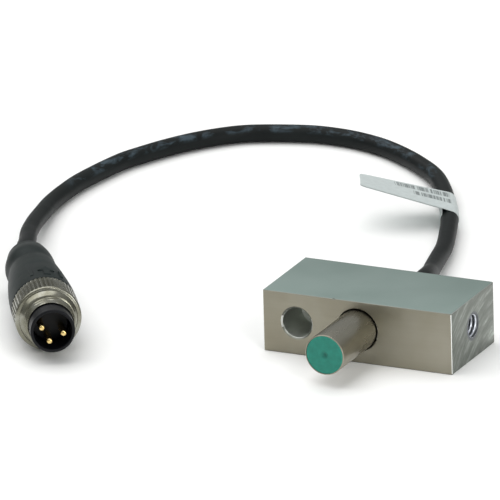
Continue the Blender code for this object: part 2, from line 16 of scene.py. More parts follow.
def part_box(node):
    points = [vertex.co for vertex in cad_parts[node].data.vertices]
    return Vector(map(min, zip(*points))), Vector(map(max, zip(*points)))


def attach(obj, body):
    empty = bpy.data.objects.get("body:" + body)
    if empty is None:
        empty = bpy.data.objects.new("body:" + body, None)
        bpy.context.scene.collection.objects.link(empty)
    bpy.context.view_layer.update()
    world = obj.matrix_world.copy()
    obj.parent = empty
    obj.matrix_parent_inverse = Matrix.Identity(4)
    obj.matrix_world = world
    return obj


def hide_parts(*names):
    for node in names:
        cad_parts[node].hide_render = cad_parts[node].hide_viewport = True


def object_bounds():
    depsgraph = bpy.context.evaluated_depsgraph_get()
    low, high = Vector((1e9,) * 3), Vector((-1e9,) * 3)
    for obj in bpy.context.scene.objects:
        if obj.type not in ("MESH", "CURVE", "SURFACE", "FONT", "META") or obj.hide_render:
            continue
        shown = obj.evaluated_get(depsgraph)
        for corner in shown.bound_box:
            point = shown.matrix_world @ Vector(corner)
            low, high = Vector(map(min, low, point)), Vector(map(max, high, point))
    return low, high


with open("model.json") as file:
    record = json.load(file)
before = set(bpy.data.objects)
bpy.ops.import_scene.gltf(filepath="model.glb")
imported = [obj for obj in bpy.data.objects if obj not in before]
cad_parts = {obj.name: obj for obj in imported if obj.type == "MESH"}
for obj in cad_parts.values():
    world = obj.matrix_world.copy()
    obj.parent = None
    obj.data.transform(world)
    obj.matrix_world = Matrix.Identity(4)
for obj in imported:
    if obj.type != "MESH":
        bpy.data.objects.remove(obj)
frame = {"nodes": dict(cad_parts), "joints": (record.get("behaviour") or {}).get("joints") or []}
cad_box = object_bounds()

MM = 0.001

# Camera: a very long lens, aimed by its direction round the object
CAMERA_AZIMUTH = 25.1
CAMERA_ELEVATION = 19.6
CAMERA_ROLL = 1.454
CAMERA_TARGET = Vector((-20.0, -3.67, 14.53)) * MM
VIEW_WIDTH = 77.52 * MM
SENSOR_WIDTH = 36.0
LENS = 1600.0

# Softboxes: name, place and size in metres, and power in watts
SOFTBOXES = (
    ("key_softbox", (-0.25, 0.05, 0.60), 0.9, 4.2),
    ("side_softbox", (0.42, -0.20, 0.10), 0.16, 0.55),
    ("front_softbox", (0.28, -0.25, 0.32), 0.12, 0.35),
)

# Cable, with its centreline between its straight ends listed
CABLE_RADIUS = 1.4 * MM
CABLE_ROUTE_MM = (
    (-0.5, 18, 5.1), (-1.5, 22, 4.3), (-2.9, 26, 3.2), (-4.2, 30, 2.6),
    (-5.7, 35, 2.0), (-7.3, 41, 1.7), (-9.6, 47.5, 1.7), (-12.2, 54, 1.7),
    (-15.3, 60, 1.7), (-19, 66.4, 1.6), (-22.6, 71.5, 1.5), (-27, 75.6, 1.45),
    (-31.3, 78.7, 1.45), (-36, 81.3, 1.45), (-41, 82.9, 1.45), (-45.5, 83.4, 1.45),
    (-50, 83, 1.45), (-58, 80.2, 1.45), (-61.5, 77.8, 1.45), (-65.2, 73.7, 1.45),
    (-68.2, 69, 1.45), (-70.4, 64.5, 1.45), (-72.2, 60, 1.45), (-74.1, 50, 1.45),
    (-74.4, 44, 1.45), (-74, 38, 1.6), (-72.7, 32, 2.1), (-71.2, 26, 2.7),
    (-69.3, 20, 3.3), (-66.8, 14, 4.0),
)
CABLE_IN_BOOT_MM = (10.3, 14.4)        # y of its straight start on the sensor's axis
CABLE_IN_GRIP_MM = (41.0, 36.5, 32.0)  # distances behind the plug's front of its straight end

# Marker label
LABEL_CENTRE = Vector((-13.9, 57.0, 1.70)) * MM
LABEL_WIDTH = 9.0 * MM
LABEL_THICKNESS = 0.07 * MM
LABEL_RADIUS = 1.43 * MM
FLAG_LENGTH = 14.9 * MM
FLAG_SKEW = 0.35 * MM         # the near side's extra length
FLAG_CORNER = 0.9 * MM
FLAG_RISE = math.radians(17.0)
FLAG_TWIST = math.radians(4.0)

# Rows of plain dashes on the label: middle and half height across the tape, reach from the
# cable, and the seed of their pattern
LABEL_ROWS = ((7.4, 1.05, 9.0, 0.0), (4.5, 0.95, 6.2, 37.0))

# Clamp block and its screw, in mm
BLOCK_EDGE = 0.2
HOLE_HEIGHT = 5.4            # height of the sensor's bore and the tapped hole
BORE_RADIUS = 3.37
BORE_CHAMFER = 0.13
MOUNT_HOLE = (-10.3, 0.0, 5.2)
COUNTERBORE_RADIUS = 2.45
COUNTERBORE_DEPTH = 7.0
COUNTERBORE_CHAMFER = 0.25
MOUNT_THROUGH_RADIUS = 1.45
HOLE_CREST = 1.72            # smallest and largest radius of the tapped hole
HOLE_ROOT = 2.05
TAP_CHAMFER = 0.12
MILL_CENTRE = (11.3, -15.3)  # y and z of the middle of the arcs milled on the end faces
MOUNT_PAINTED_LIGHT_END = 6.8         # how far back the mounting hole's wall has painted light
TAP_PAINTED_LIGHT_START = 4.0         # and the tapped hole's painted shade and highlights, from this x outwards
SCREW_CREST = 1.97
SCREW_ROOT = 1.58
SCREW_PITCH = 0.7
SOCKET_FLATS = 2.0

# Sensor, in mm
RIM_INNER = 3.10
GROMMET_RIBS = 4

# Plug, in mm from its front
SHROUD_RADIUS = 3.5
SHROUD_CAVITY = 3.0
SHROUD_DEPTH = 4.6
INSERT_FLANGE = 4.05         # radii of the insert's flange and of the part behind it
INSERT_BODY = 3.2
INSERT_FLANGE_START = 7.9
INSERT_FLANGE_END = 9.3
INSERT_END = 15.0
PIN_RADIUS = 0.5
NUT_FRONT = 2.95
NUT_BORE = 3.58
NUT_THREAD = 4.0
NUT_ROOT = 3.66
NUT_THREAD_END = 5.35
NUT_PITCH = 1.0
NUT_SEAT = 7.85
NUT_SEAT_RADIUS = 4.15
NUT_KNURL = 5.2
KNURL_START = 6.5
KNURL_END = 11.4
KNURL_TEETH = 48
KNURL_DEPTH = 0.24
GRIP_OUTLINE = ((5.16, 11.9), (5.18, 13.0), (5.12, 14.5), (4.92, 18.0), (4.58, 22.0), (4.24, 25.0),
                (3.93, 28.0), (3.82, 31.0), (3.68, 33.2), (3.50, 34.6), (3.16, 35.6))
GRIP_INSIDE = 3.35           # smaller radii belong to the inside and aren't shaped
GRIP_NOSE = 9.45             # where the grip starts, inside the nut
GRIP_SOCKET = 3.3            # radii round the insert and round the wires
GRIP_CAVITY = 2.6
GRIP_CABLE_SEAT = 31.8
GRIP_SIDE_SHIFT = 0.08
GRIP_LOBE = 0.26
GRIP_MARK_ANGLE = 98.0
GRIP_MARK_RADIUS = 5.12
GRIP_MARKS = (
    ((-0.5, 12.9), (0.5, 12.9), (0.5, 14.9), (-0.5, 14.9)),
    ((-1.3, 14.9), (1.3, 14.9), (0.0, 16.7)),
    ((2.1, 13.3), (2.6, 13.3), (2.6, 16.3), (2.1, 16.3)),
    ((-2.6, 13.3), (-2.1, 13.3), (-2.1, 16.3), (-2.6, 16.3)),
)

WIRE_COLOURS = {"brown": (0.16, 0.06, 0.025), "blue": (0.02, 0.10, 0.42), "black": (0.014, 0.014, 0.015)}


# ---- mesh helpers

def finish_mesh(name, shape, material, smooth_angle=35.0):
    """A shaded object from a bmesh."""
    bmesh.ops.remove_doubles(shape, verts=shape.verts, dist=0.0004 * MM)
    bmesh.ops.recalc_face_normals(shape, faces=shape.faces)
    mesh = bpy.data.meshes.new(name)
    shape.to_mesh(mesh)
    shape.free()
    mesh.materials.append(material)
    mesh.shade_smooth()
    mesh.set_sharp_from_angle(angle=math.radians(smooth_angle))
    obj = bpy.data.objects.new(name, mesh)
    bpy.context.scene.collection.objects.link(obj)
    return obj


def turned(name, profile, steps, material, place, shape_radius=None, smooth_angle=35.0):
    """A closed (radius, height) profile in mm turned about local Z.  shape_radius, if given,
    changes each point's radius by its height and angle, as knurls and threads do."""
    shape = bmesh.new()
    rings = []
    for radius, height in profile:
        ring = []
        for step in range(steps):
            angle = math.tau * step / steps
            r = shape_radius(radius, height, angle) if shape_radius and radius else radius
            ring.append(shape.verts.new((r * math.cos(angle) * MM, r * math.sin(angle) * MM,
                                         height * MM)))
        rings.append(ring)
    for index, ring in enumerate(rings):
        after = rings[(index + 1) % len(rings)]
        if profile[index][0] == 0 and profile[(index + 1) % len(rings)][0] == 0:
            continue
        for step in range(steps):
            other = (step + 1) % steps
            shape.faces.new((ring[step], ring[other], after[other], after[step]))
    obj = finish_mesh(name, shape, material, smooth_angle)
    obj.matrix_world = place
    return obj


def arc(centre_radius, centre_height, size, start, end, count=5):
    """Points of an arc in a turned profile, in mm, with angles in degrees from +radius."""
    points = []
    for index in range(count + 1):
        angle = math.radians(start + (end - start) * index / count)
        points.append((centre_radius + size * math.cos(angle), centre_height + size * math.sin(angle)))
    return points


def heights(start, end, step):
    """Evenly spaced heights from start to end, no further apart than step."""
    count = max(1, math.ceil(abs(end - start) / step))
    return [start + (end - start) * index / count for index in range(count + 1)]


def thread_depth(height, angle, pitch, depth):
    """How far the surface of a right-hand thread lies below its crest."""
    phase = (height / pitch - angle / math.tau) % 1.0
    rise = (abs(2.0 * phase - 1.0) - 0.14) / 0.66
    return depth * min(max(rise, 0.0), 1.0)


def placed(origin, along, across):
    """The matrix of a frame at origin whose Z runs along and whose X is nearest to across."""
    z = Vector(along).normalized()
    y = z.cross(Vector(across)).normalized()
    x = y.cross(z)
    place = Matrix((x, y, z)).transposed().to_4x4()
    place.translation = origin
    return place


def baked(obj):
    """The object with its modifiers applied, under the same name."""
    graph = bpy.context.evaluated_depsgraph_get()
    mesh = bpy.data.meshes.new_from_object(obj.evaluated_get(graph))
    name, place = obj.name, obj.matrix_world.copy()
    bpy.data.objects.remove(obj)
    solid = bpy.data.objects.new(name, mesh)
    solid.matrix_world = place
    bpy.context.scene.collection.objects.link(solid)
    return solid


def combined(obj, cutters, smooth_angle=30.0, operation="DIFFERENCE"):
    """The object with the cutters' shapes taken out of it, or joined to it; they are removed."""
    for cutter in cutters:
        modifier = obj.modifiers.new("Combine", "BOOLEAN")
        modifier.operation = operation
        modifier.solver = "EXACT"
        modifier.object = cutter
    bpy.context.view_layer.update()
    solid = baked(obj)
    for cutter in cutters:
        bpy.data.objects.remove(cutter)
    solid.data.shade_smooth()
    solid.data.set_sharp_from_angle(angle=math.radians(smooth_angle))
    return solid


def smooth_path(route, count):
    """Points at equal spacing on one smooth curve through the route's points."""
    route = [Vector(point) for point in route]
    tangents = []
    for index in range(len(route)):
        before = route[max(index - 1, 0)]
        after = route[min(index + 1, len(route) - 1)]
        tangents.append((after - before).normalized())
    dense = [route[0]]
    for index in range(len(route) - 1):
        reach = (route[index + 1] - route[index]).length / 3.0
        first_handle = route[index] + tangents[index] * reach
        second_handle = route[index + 1] - tangents[index + 1] * reach
        piece = interpolate_bezier(route[index], first_handle, second_handle, route[index + 1], 17)
        dense.extend(piece[1:])
    lengths = [0.0]
    for first, second in zip(dense, dense[1:]):
        lengths.append(lengths[-1] + (second - first).length)
    points = []
    segment = 0
    for index in range(count):
        target = lengths[-1] * index / (count - 1)
        while segment < len(dense) - 2 and lengths[segment + 1] < target:
            segment += 1
        share = (target - lengths[segment]) / (lengths[segment + 1] - lengths[segment])
        points.append(dense[segment].lerp(dense[segment + 1], min(share, 1.0)))
    return points


def path_length(points):
    return sum((second - first).length for first, second in zip(points, points[1:]))


def path_frames(points):
    """(along, side, up) at each point of a path, with side level."""
    frames = []
    for index in range(len(points)):
        before = points[max(index - 1, 0)]
        after = points[min(index + 1, len(points) - 1)]
        along = (after - before).normalized()
        side = along.cross(Vector((0, 0, 1))).normalized()
        frames.append((along, side, side.cross(along)))
    return frames


def tube(name, points, radius, steps, material):
    """A mesh tube along the points.  Its UV holds the distance along it and round it, in mm."""
    shape = bmesh.new()
    uv = shape.loops.layers.uv.new("Run")
    rings = []
    for point, (along, side, up) in zip(points, path_frames(points)):
        rings.append([shape.verts.new(point + (side * math.cos(math.tau * step / steps)
                                               + up * math.sin(math.tau * step / steps)) * radius)
                      for step in range(steps)])
    spacing = path_length(points) / (len(points) - 1) / MM
    girth = math.tau * radius / MM
    for index, (near, far) in enumerate(zip(rings, rings[1:])):
        for step in range(steps):
            other = (step + 1) % steps
            face = shape.faces.new((near[step], near[other], far[other], far[step]))
            corners = ((index, step), (index, step + 1), (index + 1, step + 1), (index + 1, step))
            for loop, (row, column) in zip(face.loops, corners):
                loop[uv].uv = (row * spacing, column * girth / steps)
    shape.faces.new(rings[0][::-1])
    shape.faces.new(rings[-1])
    return finish_mesh(name, shape, material)


# ---- material helpers

def set_stops(ramp, stops):
    """Give a colour ramp its (position, colour or grey value) stops."""
    elements = ramp.color_ramp.elements
    while len(elements) < len(stops):
        elements.new(0.5)
    for element, (position, colour) in zip(elements, stops):
        element.position = position
        element.color = (*colour, 1.0) if hasattr(colour, "__len__") else (colour,) * 3 + (1.0,)


class Paint:
    """A Principled material and short ways to wire its procedural nodes."""

    def __init__(self, name, colour, roughness, metallic=0.0, **sockets):
        self.material = bpy.data.materials.new(name)
        self.material.use_nodes = True
        self.tree = self.material.node_tree
        self.shader = self.tree.nodes["Principled BSDF"]
        self.shader.inputs["Base Color"].default_value = (*colour, 1.0)
        self.shader.inputs["Roughness"].default_value = roughness
        self.shader.inputs["Metallic"].default_value = metallic
        for socket, value in sockets.items():
            self.shader.inputs[socket.replace("_", " ")].default_value = value
        self.coordinates = self.tree.nodes.new("ShaderNodeTexCoord")

    def node(self, kind, **values):
        """A node with its properties or input defaults set by name."""
        node = self.tree.nodes.new(kind)
        for name, value in values.items():
            if hasattr(node, name):
                setattr(node, name, value)
            else:
                node.inputs[name.replace("_", " ")].default_value = value
        return node

    def link(self, output, target):
        self.tree.links.new(output, target)

    def scaled(self, scale=(1, 1, 1)):
        """Object coordinates times scale."""
        mapping = self.node("ShaderNodeMapping", Scale=scale)
        self.link(self.coordinates.outputs["Object"], mapping.inputs["Vector"])
        return mapping.outputs["Vector"]

    def noise(self, vector, scale, detail=4.0, roughness=0.55, distortion=0.0):
        noise = self.node("ShaderNodeTexNoise", Scale=scale, Detail=detail, Roughness=roughness,
                          Distortion=distortion)
        self.link(vector, noise.inputs["Vector"])
        return noise.outputs["Fac"]

    def ramp(self, value, *stops):
        """A colour ramp through (position, colour or grey value) stops."""
        ramp = self.node("ShaderNodeValToRGB")
        set_stops(ramp, stops)
        self.link(value, ramp.inputs["Fac"])
        return ramp.outputs["Color"]

    def math(self, operation, first, second=None, clamp=False):
        node = self.node("ShaderNodeMath", operation=operation, use_clamp=clamp)
        for socket, value in zip(node.inputs, (first, second)):
            if value is None:
                continue
            if isinstance(value, (int, float)):
                socket.default_value = value
            else:
                self.link(value, socket)
        return node.outputs["Value"]

    def mix(self, factor, first, second, blend="MIX"):
        node = self.node("ShaderNodeMix", data_type="RGBA", blend_type=blend)
        for socket, value in ((node.inputs[0], factor), (node.inputs[6], first), (node.inputs[7], second)):
            if isinstance(value, (int, float)):
                socket.default_value = value
            elif isinstance(value, tuple):
                socket.default_value = (*value, 1.0)
            else:
                self.link(value, socket)
        return node.outputs[2]

    def colour(self, output):
        self.link(output, self.shader.inputs["Base Color"])

    def rough(self, output):
        self.link(output, self.shader.inputs["Roughness"])

    def bump(self, height, distance, strength=1.0):
        """Adds a bump of that distance in metres on top of any earlier one."""
        bump = self.node("ShaderNodeBump", Strength=strength, Distance=distance)
        self.link(height, bump.inputs["Height"])
        socket = self.shader.inputs["Normal"]
        if socket.is_linked:
            self.link(socket.links[0].from_socket, bump.inputs["Normal"])
        self.link(bump.outputs["Normal"], socket)

    def axes(self, source="Object"):
        split = self.node("ShaderNodeSeparateXYZ")
        self.link(self.coordinates.outputs[source], split.inputs["Vector"])
        return split.outputs["X"], split.outputs["Y"], split.outputs["Z"]

    def normals(self):
        """The three components of the surface's direction."""
        geometry = self.node("ShaderNodeNewGeometry")
        split = self.node("ShaderNodeSeparateXYZ")
        self.link(geometry.outputs["Normal"], split.inputs["Vector"])
        return split.outputs["X"], split.outputs["Y"], split.outputs["Z"]

    def distance(self, first, second):
        """The length of a flat vector with these two components."""
        squares = [self.math("MULTIPLY", value, value) for value in (first, second)]
        return self.math("SQRT", self.math("ADD", *squares))


def shade(colour, factor):
    return tuple(min(channel * factor, 1.0) for channel in colour)


# ---- camera, light and floor

def make_camera():
    azimuth, elevation = math.radians(CAMERA_AZIMUTH), math.radians(CAMERA_ELEVATION)
    back = Vector((math.sin(azimuth) * math.cos(elevation), -math.cos(azimuth) * math.cos(elevation),
                   math.sin(elevation)))
    level = Vector((math.cos(azimuth), math.sin(azimuth), 0))
    right = Matrix.Rotation(-math.radians(CAMERA_ROLL), 3, back) @ level
    data = bpy.data.cameras.new("camera")
    data.lens = LENS
    data.sensor_width = SENSOR_WIDTH
    distance = VIEW_WIDTH * LENS / SENSOR_WIDTH
    data.clip_start = 0.1 * distance
    data.clip_end = 3.0 * distance
    camera = bpy.data.objects.new("camera", data)
    camera.matrix_world = placed(CAMERA_TARGET + back * distance, back, right)
    bpy.context.scene.collection.objects.link(camera)
    bpy.context.scene.camera = camera


def add_light(name, place, target, size, power):
    data = bpy.data.lights.new(name, "AREA")
    data.shape = "SQUARE"
    data.size = size
    data.energy = power
    light = bpy.data.objects.new(name, data)
    light.location = place
    light.rotation_euler = (Vector(target) - Vector(place)).to_track_quat("-Z", "Y").to_euler()
    bpy.context.scene.collection.objects.link(light)


def make_world():
    """Pale surroundings: bright overhead, greyer round the horizon."""
    world = bpy.data.worlds.new("studio")
    world.use_nodes = True
    bpy.context.scene.world = world
    tree = world.node_tree
    background = tree.nodes["Background"]
    coordinates = tree.nodes.new("ShaderNodeTexCoord")
    split = tree.nodes.new("ShaderNodeSeparateXYZ")
    ramp = tree.nodes.new("ShaderNodeValToRGB")
    set_stops(ramp, ((0.0, (0.34, 0.34, 0.33)), (0.30, (0.60, 0.62, 0.61)), (0.62, (0.86, 0.88, 0.88)),
                     (1.0, (1.0, 1.0, 1.0))))
    tree.links.new(coordinates.outputs["Generated"], split.inputs["Vector"])
    tree.links.new(split.outputs["Z"], ramp.inputs["Fac"])
    tree.links.new(ramp.outputs["Color"], background.inputs["Color"])
    background.inputs["Strength"].default_value = 0.60
    bpy.context.scene.view_settings.view_transform = "Standard"


def make_stage():
    low, high = cad_box
    centre = (low + high) / 2
    paint = Paint("floor_pale", (0.94, 0.94, 0.93), 0.9)
    speckle = paint.noise(paint.scaled(), 60.0)
    paint.colour(paint.ramp(speckle, (0.3, (0.93, 0.93, 0.92)), (0.7, (0.96, 0.96, 0.95))))
    shape = bmesh.new()
    bmesh.ops.create_circle(shape, cap_ends=True, radius=1.5, segments=96)
    floor = finish_mesh("floor", shape, paint.material)
    floor.location = (centre.x, centre.y, low.z - 0.02 * MM)
    for name, place, size, power in SOFTBOXES:
        add_light(name, place, centre, size, power)


# ---- materials

def metal_block_paint():
    """Satin machined metal: fine feed lines, faint stains and milling arcs on the end faces, with painted
    light: a greener top, darker end faces, bright and dark chamfers, and light and shade painted in the
    holes.
    """
    paint = Paint("block_machined", (0.30, 0.31, 0.28), 0.42, 1.0)
    normals = paint.normals()
    top = paint.math("GREATER_THAN", normals[2], 0.8)
    end = paint.math("GREATER_THAN", paint.math("ABSOLUTE", normals[0]), 0.9)

    cloud = paint.noise(paint.scaled((1, 1, 1)), 95.0, 3.0, 0.5)
    # Painted reflection: the top gets its own greener copy of the colour, standing for the bright
    # surroundings it reflects, and the sides keep a warmer one.
    side_colour = paint.ramp(cloud, (0.30, (0.255, 0.235, 0.180)), (0.50, (0.302, 0.285, 0.226)),
                             (0.72, (0.345, 0.326, 0.268)))
    top_reflection_colour = paint.ramp(cloud, (0.3, (0.248, 0.312, 0.290)), (0.7, (0.276, 0.338, 0.317)))
    colour = paint.mix(top, side_colour, top_reflection_colour)

    x, y, z = paint.axes()
    y_off = paint.math("SUBTRACT", y, MILL_CENTRE[0] * MM)
    z_off = paint.math("SUBTRACT", z, MILL_CENTRE[1] * MM)
    reach = paint.distance(y_off, z_off)
    arcs = paint.node("ShaderNodeCombineXYZ")
    paint.link(paint.math("MULTIPLY", reach, 950.0), arcs.inputs["X"])
    paint.link(paint.math("MULTIPLY", paint.math("ARCTAN2", z_off, y_off), 3.5), arcs.inputs["Y"])
    streak = paint.noise(arcs.outputs["Vector"], 1.0, 4.0, 0.62)
    # The end faces' milling arcs are real marks. They are painted here as dark and bright streaks of
    # reflection on a darker, painted-shade copy of the colour.
    end_arcs_and_shade = paint.ramp(streak, (0.38, (0.165, 0.180, 0.160)), (0.52, (0.215, 0.230, 0.208)),
                            (0.63, (0.31, 0.335, 0.305)), (0.75, (0.54, 0.58, 0.545)))
    colour = paint.mix(end, colour, end_arcs_and_shade)

    # Painted highlights on the chamfers between the end faces and the other faces, and painted shade on
    # those between the front or back and the top or bottom.
    facing = [paint.math("GREATER_THAN", paint.math("ABSOLUTE", normal), 0.25) for normal in normals]
    for first, second, tint in ((0, 1, (0.90, 0.92, 0.90)), (0, 2, (0.55, 0.58, 0.55)),
                                (1, 2, (0.20, 0.205, 0.18))):
        chamfer_light_shade = paint.math("MULTIPLY", facing[first], facing[second])
        colour = paint.mix(chamfer_light_shade, colour, tint)

    # Painted light on the mounting hole's wall. On the tapped hole, a ring of painted shade over its mouth
    # and thread roots, and painted highlights on its thread crests.
    in_mount = paint.math("LESS_THAN", y, MOUNT_PAINTED_LIGHT_END * MM)
    in_tap = paint.math("GREATER_THAN", x, TAP_PAINTED_LIGHT_START * MM)
    for across, centre, height, radius, where, tint in (
            (x, MOUNT_HOLE[0], MOUNT_HOLE[2], COUNTERBORE_RADIUS + 0.05, in_mount, (0.60, 0.62, 0.58)),
            (y, 0.0, HOLE_HEIGHT, HOLE_ROOT + 0.25, in_tap, (0.16, 0.17, 0.18)),
            (y, 0.0, HOLE_HEIGHT, HOLE_CREST + 0.13, in_tap, (0.85, 0.88, 0.94))):
        across = paint.math("SUBTRACT", across, centre * MM)
        above = paint.math("SUBTRACT", z, height * MM)
        from_axis = paint.distance(across, above)
        hole_light_shade = paint.math("MULTIPLY", where, paint.math("LESS_THAN", from_axis, radius * MM))
        colour = paint.mix(hole_light_shade, colour, tint)
    paint.colour(colour)

    feed = paint.noise(paint.scaled((60, 2500, 2500)), 1.0, 2.0, 0.6)
    grain = paint.noise(paint.scaled(), 2600.0, 3.0, 0.6)
    satin = paint.ramp(paint.math("ADD", paint.math("MULTIPLY", feed, 0.5),
                                  paint.math("MULTIPLY", cloud, 0.5)), (0.3, 0.36), (0.7, 0.50))
    matt = paint.ramp(cloud, (0.3, 0.58), (0.7, 0.64))
    paint.rough(paint.mix(top, satin, matt))
    paint.bump(feed, 0.004 * MM, 0.5)
    paint.bump(grain, 0.003 * MM, 0.6)
    paint.bump(paint.math("MULTIPLY", streak, end), 0.02 * MM, 0.7)
    return paint.material


def barrel_paint():
    """Ground stainless tube: fine rings round it, faint stains along it, and painted shade darkening it
    towards the top.
    """
    paint = Paint("barrel_ground", (0.42, 0.40, 0.36), 0.30, 1.0)
    rings = paint.noise(paint.scaled((60, 60, 5200)), 1.0, 3.0, 0.6)
    stains = paint.noise(paint.scaled((420, 420, 90)), 1.0, 4.0, 0.55)
    body = paint.ramp(stains, (0.28, (0.285, 0.265, 0.212)), (0.5, (0.36, 0.340, 0.278)),
                      (0.75, (0.43, 0.410, 0.345)))
    # Painted shade: the colour darkens towards the top, toning down the reflection of the bright overhead
    # light there.
    upper = paint.ramp(paint.normals()[2], (0.50, 0.0), (0.95, 0.55))
    paint.colour(paint.mix(upper, body, (0.19, 0.18, 0.150)))
    paint.rough(paint.ramp(stains, (0.3, 0.36), (0.7, 0.24)))
    paint.bump(rings, 0.004 * MM, 0.6)
    return paint.material


def face_paint():
    """Teal moulded plastic with painted shade in its dimple, a painted highlight round its rim and fine
    grain.
    """
    paint = Paint("sensing_face_teal", (0.026, 0.285, 0.205), 0.5, Specular_IOR_Level=0.3)
    cloud = paint.noise(paint.scaled(), 900.0, 4.0, 0.6)
    grain = paint.noise(paint.scaled(), 6000.0, 2.0, 0.5)
    x, y, _ = paint.axes()
    reach = paint.math("DIVIDE", paint.distance(x, y), RIM_INNER * MM)
    # Painted shade darkens the dimple in the middle, and a painted highlight brightens the edge of the rim.
    middle = paint.ramp(reach, (0.0, 0.55), (0.16, 0.80), (0.24, 1.0), (0.93, 1.0), (0.99, 1.6))
    base = paint.ramp(cloud, (0.3, (0.012, 0.165, 0.122)), (0.7, (0.020, 0.232, 0.172)))
    paint.colour(paint.mix(1.0, base, middle, "MULTIPLY"))
    paint.rough(paint.ramp(cloud, (0.3, 0.36), (0.7, 0.48)))
    paint.bump(grain, 0.006 * MM, 0.5)
    return paint.material


def rubber_paint(name, colour, roughness, grain_size=3500.0, dust=0.35):
    """Dark moulded rubber or plastic: fine grain, slightly greyer where it is rubbed."""
    paint = Paint(name, colour, roughness, Specular_IOR_Level=0.18)
    cloud = paint.noise(paint.scaled(), 160.0, 4.0, 0.6)
    grain = paint.noise(paint.scaled(), grain_size, 3.0, 0.6)
    paint.colour(paint.ramp(cloud, (0.3, shade(colour, 0.85)), (0.72, shade(colour, 1.0 + dust))))
    paint.rough(paint.ramp(cloud, (0.3, roughness - 0.06), (0.7, roughness + 0.08)))
    paint.bump(grain, 0.010 * MM, 0.55)
    return paint.material


def cable_paint():
    """Dark jacket with a row of bluish patches along its upper side."""
    base = (0.0080, 0.0100, 0.0100)
    paint = Paint("cable_jacket_dark", base, 0.5, Specular_IOR_Level=0.12)
    cloud = paint.noise(paint.scaled(), 120.0, 4.0, 0.6)
    along, around, _ = paint.axes("UV")
    body = paint.ramp(cloud, (0.3, shade(base, 0.8)), (0.7, shade(base, 1.35)))
    girth = math.tau * CABLE_RADIUS / MM
    from_middle = paint.math("ABSOLUTE", paint.math("SUBTRACT", around, girth * 0.33))
    top = paint.math("SUBTRACT", 1.7, paint.math("MULTIPLY", from_middle, 1.5), clamp=True)
    marks = paint.node("ShaderNodeCombineXYZ")
    paint.link(paint.math("MULTIPLY", along, 0.30), marks.inputs["X"])
    paint.link(paint.math("MULTIPLY", around, 0.55), marks.inputs["Y"])
    # Lighter bluish patches, kept to the upper side of the jacket.
    blue_patch = paint.noise(marks.outputs["Vector"], 1.0, 3.0, 0.65, 0.4)
    mask = paint.math("MULTIPLY", paint.ramp(blue_patch, (0.48, 0.0), (0.64, 1.0)), top, clamp=True)
    run = paint.ramp(paint.math("DIVIDE", along, 185.0), (0.33, 0.0), (0.36, 1.0), (0.77, 1.0),
                     (0.80, 0.0))
    mask = paint.math("MULTIPLY", mask, run)
    paint.colour(paint.mix(paint.math("MULTIPLY", mask, 0.9), body, (0.052, 0.074, 0.090)))
    paint.rough(paint.ramp(cloud, (0.3, 0.42), (0.7, 0.56)))
    paint.bump(paint.noise(paint.scaled(), 2600.0, 3.0, 0.6), 0.006 * MM, 0.5)
    paint.bump(paint.noise(paint.scaled(), 420.0, 2.0, 0.5), 0.03 * MM, 0.4)
    return paint.material


def label_paint():
    """White tape with two rows of plain dashes next to the cable."""
    paint = Paint("label_white", (0.66, 0.72, 0.69), 0.55)
    across, along, _ = paint.axes("UV")
    fibre = paint.noise(paint.scaled(), 1400.0, 3.0, 0.5)
    body = paint.ramp(fibre, (0.3, (0.47, 0.515, 0.51)), (0.7, (0.535, 0.585, 0.58)))
    ink = None
    for row_centre, row_half, row_end, seed in LABEL_ROWS:
        cell = paint.node("ShaderNodeCombineXYZ")
        paint.link(paint.math("ADD", paint.math("MULTIPLY", along, 1.9), seed), cell.inputs["X"])
        stroke = paint.noise(cell.outputs["Vector"], 1.0, 2.0, 0.8)
        on = paint.ramp(stroke, (0.43, 0.0), (0.52, 1.0))
        aside = paint.math("ABSOLUTE", paint.math("SUBTRACT", across, row_centre))
        band = paint.math("LESS_THAN", aside, row_half)
        inside = paint.math("MULTIPLY", paint.math("GREATER_THAN", along, 0.0),
                            paint.math("LESS_THAN", along, row_end))
        row = paint.math("MULTIPLY", on, paint.math("MULTIPLY", band, inside))
        ink = row if ink is None else paint.math("MAXIMUM", ink, row)
    paint.colour(paint.mix(paint.math("MULTIPLY", ink, 0.78), body, (0.085, 0.10, 0.10)))
    paint.bump(fibre, 0.005 * MM, 0.5)
    return paint.material


def nickel_paint():
    """Bright nickel plate, faintly stained and finely turned."""
    paint = Paint("nut_nickel_plate", (0.58, 0.57, 0.50), 0.22, 1.0)
    stains = paint.noise(paint.scaled(), 420.0, 4.0, 0.6)
    rings = paint.noise(paint.scaled((80, 80, 7000)), 1.0, 2.0, 0.6)
    paint.colour(paint.ramp(stains, (0.3, (0.175, 0.169, 0.128)), (0.5, (0.230, 0.225, 0.180)),
                            (0.75, (0.36, 0.36, 0.325))))
    paint.rough(paint.ramp(stains, (0.3, 0.30), (0.7, 0.18)))
    paint.bump(rings, 0.003 * MM, 0.5)
    return paint.material


def gold_paint():
    paint = Paint("pin_gold_plate", (0.80, 0.56, 0.20), 0.24, 1.0)
    stains = paint.noise(paint.scaled(), 1500.0, 3.0, 0.6)
    paint.colour(paint.ramp(stains, (0.3, (0.66, 0.46, 0.16)), (0.7, (0.88, 0.70, 0.34))))
    paint.bump(paint.noise(paint.scaled((200, 200, 6000)), 1.0), 0.002 * MM, 0.5)
    return paint.material


def black_steel_paint():
    """Black oxide steel with its edges a little bare."""
    paint = Paint("screw_black_oxide", (0.075, 0.078, 0.085), 0.36, 0.9)
    wear = paint.noise(paint.scaled(), 1300.0, 4.0, 0.65)
    paint.colour(paint.ramp(wear, (0.35, (0.05, 0.052, 0.058)), (0.7, (0.16, 0.165, 0.17))))
    paint.rough(paint.ramp(wear, (0.3, 0.45), (0.7, 0.28)))
    paint.bump(wear, 0.004 * MM, 0.5)
    return paint.material


